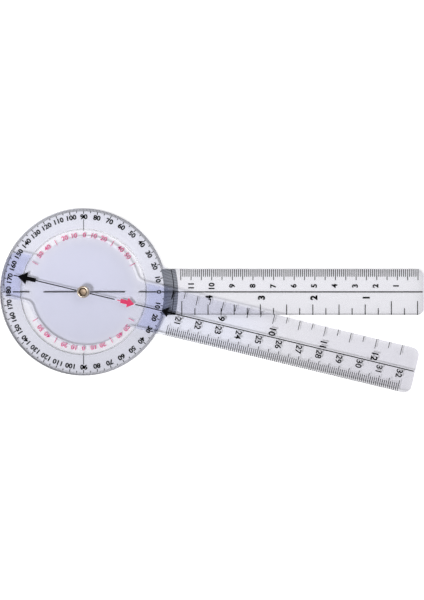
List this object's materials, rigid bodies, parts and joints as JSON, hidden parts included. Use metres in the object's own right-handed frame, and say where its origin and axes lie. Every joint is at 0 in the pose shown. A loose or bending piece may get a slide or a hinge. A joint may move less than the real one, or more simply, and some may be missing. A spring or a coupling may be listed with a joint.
{
  "type": "goniometer",
  "caption": "Clear plastic full-circle goniometer: a round protractor with a ruler arm, and a pointer arm with hub and tail that turns over it on a rolled rivet.",
  "frame": {"origin": "on the pivot axis, at the flat back of the scale arm", "axes": "+X along the scale arm's ruler, away from the pivot; +Z out of the printed face, along the pivot axis; +Y completes the right-handed frame. The pointer arm rests turned 13.5 degrees clockwise from the scale arm."},
  "size_m": [0.2053, 0.089, 0.0041],
  "materials": {
    "clear_scale_plastic": "clear, polished, very slightly blue",
    "clear_pointer_plastic": "clear, polished, very slightly blue",
    "rivet_brass": "bare brass, rolled and burnished",
    "black_print": "black printed ink",
    "grey_print": "grey printed ground under the dial's ticks",
    "red_print": "red printed ink"
  },
  "bodies": {
    "scale": {"scale_arm": "clear_scale_plastic", "pivot_rivet": "rivet_brass"},
    "pointer": {"pointer_arm": "clear_pointer_plastic"}
  },
  "joints": [
    {"name": "arm_pivot", "type": "hinge", "parent": "scale", "child": "pointer", "pos_m": [0, 0, 0], "axis": [0, 0, 1], "continuous": true}
  ]
}
